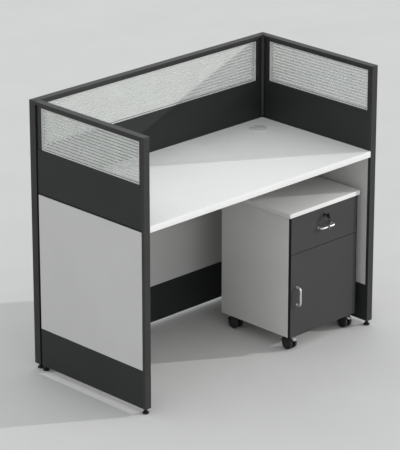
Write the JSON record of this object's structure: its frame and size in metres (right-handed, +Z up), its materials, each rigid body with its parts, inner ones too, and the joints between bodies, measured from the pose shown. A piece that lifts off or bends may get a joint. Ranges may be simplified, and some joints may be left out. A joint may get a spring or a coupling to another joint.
{
  "type": "cubicle workstation",
  "caption": "Screened office workstation: desktop between three framed panels with translucent ribbed tops, and a locking drawer-and-door pedestal on casters below.",
  "frame": {"origin": "on the floor at the middle of the footprint", "axes": "+X to the sitter's right, +Y to the back panel, +Z up"},
  "size_m": [1.26, 0.63, 1.1],
  "materials": {
    "charcoal_frame": "satin powder-coated aluminium",
    "charcoal_skin": "fine-textured laminate",
    "grey_skin": "fine-textured laminate",
    "translucent_sheet": "ribbed translucent polycarbonate",
    "black_plastic": "moulded nylon",
    "white_laminate": "satin melamine on board",
    "white_edging": "satin plastic edging",
    "grey_plastic": "moulded plastic",
    "zinc_steel": "zinc plated steel",
    "white_steel": "powder-coated steel",
    "light_board": "satin melamine on particle board",
    "charcoal_board": "satin melamine on particle board",
    "bright_handle": "satin nickel plated",
    "black_metal": "black plated zinc",
    "black_tread": "soft tread"
  },
  "bodies": {
    "screens_and_desk": {"left_stiles": "charcoal_frame", "left_rails": "charcoal_frame", "left_glazing": "translucent_sheet", "left_lower_tiles": "grey_skin", "right_stiles": "charcoal_frame", "right_rails": "charcoal_frame", "right_glazing": "translucent_sheet", "right_lower_tiles": "grey_skin", "back_stiles": "charcoal_frame", "back_rails": "charcoal_frame", "back_glazing": "translucent_sheet", "back_lower_tiles": "grey_skin", "upper_tiles": "charcoal_skin", "kick_tiles": "charcoal_skin", "left_corner_post": "charcoal_frame", "right_corner_post": "charcoal_frame", "frame_caps": "charcoal_frame", "desktop": "white_laminate", "desktop_edging": "white_edging", "desk_brackets": "white_steel", "bracket_screws": "zinc_steel", "grommet_sleeve": "grey_plastic"},
    "grommet_cap": {"grommet_cap": "grey_plastic"},
    "pedestal": {"pedestal_top": "light_board", "pedestal_left_side": "light_board", "pedestal_right_side": "light_board", "pedestal_back": "light_board", "pedestal_floor": "light_board", "pedestal_divider": "light_board", "runner_cabinet_members": "zinc_steel", "hinge_plates": "zinc_steel", "caster_stems": "zinc_steel"},
    "drawer": {"drawer_front": "charcoal_board", "drawer_box": "white_steel", "runner_drawer_members": "zinc_steel", "drawer_handle": "bright_handle", "lock_barrel": "black_metal"},
    "runner_middles": {"runner_middle_members": "zinc_steel"},
    "door": {"cupboard_door": "charcoal_board", "door_handle": "bright_handle", "hinge_cups": "zinc_steel"},
    "lock_plug": {"lock_plug": "black_metal"},
    "key": {"key": "black_metal"},
    "key_ring": {"key_ring": "zinc_steel"},
    "left_front_foot": {"left_front_foot": "black_plastic"},
    "left_rear_foot": {"left_rear_foot": "black_plastic"},
    "left_post_foot": {"left_post_foot": "black_plastic"},
    "right_front_foot": {"right_front_foot": "black_plastic"},
    "right_rear_foot": {"right_rear_foot": "black_plastic"},
    "right_post_foot": {"right_post_foot": "black_plastic"},
    "front_left_caster": {"front_left_caster_hood": "black_plastic"},
    "front_left_wheels": {"front_left_wheels": "black_tread"},
    "front_left_brake": {"front_left_brake_lever": "zinc_steel"},
    "front_right_caster": {"front_right_caster_hood": "black_plastic"},
    "front_right_wheels": {"front_right_wheels": "black_tread"},
    "front_right_brake": {"front_right_brake_lever": "zinc_steel"},
    "rear_left_caster": {"rear_left_caster_hood": "black_plastic"},
    "rear_left_wheels": {"rear_left_wheels": "black_tread"},
    "rear_right_caster": {"rear_right_caster_hood": "black_plastic"},
    "rear_right_wheels": {"rear_right_wheels": "black_tread"}
  },
  "joints": [
    {"name": "pedestal_roll", "type": "slide", "parent": "screens_and_desk", "child": "pedestal", "axis": [0, -1, 0], "range_m": [0, 0.4]},
    {"name": "drawer_slide", "type": "slide", "parent": "pedestal", "child": "drawer", "axis": [0, -1, 0], "range_m": [0, 0.3]},
    {"name": "runner_middle_slide", "type": "slide", "parent": "pedestal", "child": "runner_middles", "axis": [0, -1, 0], "range_m": [0, 0.15]},
    {"name": "door_hinge", "type": "hinge", "parent": "pedestal", "child": "door", "pos_m": [0.5635, -0.278, 0.23385], "axis": [0, 0, 1], "range_deg": [0, 110]},
    {"name": "lock_turn", "type": "hinge", "parent": "drawer", "child": "lock_plug", "pos_m": [0.377, -0.281, 0.533], "axis": [0, -1, 0], "range_deg": [0, 90]},
    {"name": "key_draw", "type": "slide", "parent": "lock_plug", "child": "key", "axis": [0, -1, 0], "range_m": [0, 0.03]},
    {"name": "key_ring_swing", "type": "hinge", "parent": "key", "child": "key_ring", "pos_m": [0.377, -0.3071, 0.533], "axis": [-1, 0, 0], "range_deg": [0, 70]},
    {"name": "front_left_swivel", "type": "hinge", "parent": "pedestal", "child": "front_left_caster", "pos_m": [0.217, -0.231, 0.033], "axis": [0, 0, 1], "continuous": true},
    {"name": "front_left_wheel_spin", "type": "hinge", "parent": "front_left_caster", "child": "front_left_wheels", "pos_m": [0.217, -0.249, 0.025], "axis": [1, 0, 0], "continuous": true},
    {"name": "front_left_brake_press", "type": "hinge", "parent": "front_left_caster", "child": "front_left_brake", "pos_m": [0.217, -0.2645, 0.05185], "axis": [1, 0, 0], "range_deg": [0, 6]},
    {"name": "front_right_swivel", "type": "hinge", "parent": "pedestal", "child": "front_right_caster", "pos_m": [0.537, -0.231, 0.033], "axis": [0, 0, 1], "continuous": true},
    {"name": "front_right_wheel_spin", "type": "hinge", "parent": "front_right_caster", "child": "front_right_wheels", "pos_m": [0.537, -0.249, 0.025], "axis": [1, 0, 0], "continuous": true},
    {"name": "front_right_brake_press", "type": "hinge", "parent": "front_right_caster", "child": "front_right_brake", "pos_m": [0.537, -0.2645, 0.05185], "axis": [1, 0, 0], "range_deg": [0, 6]},
    {"name": "rear_left_swivel", "type": "hinge", "parent": "pedestal", "child": "rear_left_caster", "pos_m": [0.217, 0.069, 0.033], "axis": [0, 0, 1], "continuous": true},
    {"name": "rear_left_wheel_spin", "type": "hinge", "parent": "rear_left_caster", "child": "rear_left_wheels", "pos_m": [0.217, 0.051, 0.025], "axis": [1, 0, 0], "continuous": true},
    {"name": "rear_right_swivel", "type": "hinge", "parent": "pedestal", "child": "rear_right_caster", "pos_m": [0.537, 0.069, 0.033], "axis": [0, 0, 1], "continuous": true},
    {"name": "rear_right_wheel_spin", "type": "hinge", "parent": "rear_right_caster", "child": "rear_right_wheels", "pos_m": [0.537, 0.051, 0.025], "axis": [1, 0, 0], "continuous": true},
    {"name": "left_front_foot_screw", "type": "slide", "parent": "screens_and_desk", "child": "left_front_foot", "axis": [0, 0, -1], "range_m": [-0.008, 0.012]},
    {"name": "left_rear_foot_screw", "type": "slide", "parent": "screens_and_desk", "child": "left_rear_foot", "axis": [0, 0, -1], "range_m": [-0.008, 0.012]},
    {"name": "left_post_foot_screw", "type": "slide", "parent": "screens_and_desk", "child": "left_post_foot", "axis": [0, 0, -1], "range_m": [-0.008, 0.012]},
    {"name": "right_front_foot_screw", "type": "slide", "parent": "screens_and_desk", "child": "right_front_foot", "axis": [0, 0, -1], "range_m": [-0.008, 0.012]},
    {"name": "right_rear_foot_screw", "type": "slide", "parent": "screens_and_desk", "child": "right_rear_foot", "axis": [0, 0, -1], "range_m": [-0.008, 0.012]},
    {"name": "right_post_foot_screw", "type": "slide", "parent": "screens_and_desk", "child": "right_post_foot", "axis": [0, 0, -1], "range_m": [-0.008, 0.012]},
    {"name": "grommet_cap_lift", "type": "slide", "parent": "screens_and_desk", "child": "grommet_cap", "axis": [0, 0, 1], "range_m": [0, 0.04]}
  ],
  "couplings": [
    {"joint": "runner_middle_slide", "follows": "drawer_slide", "ratio": 0.5}
  ]
}
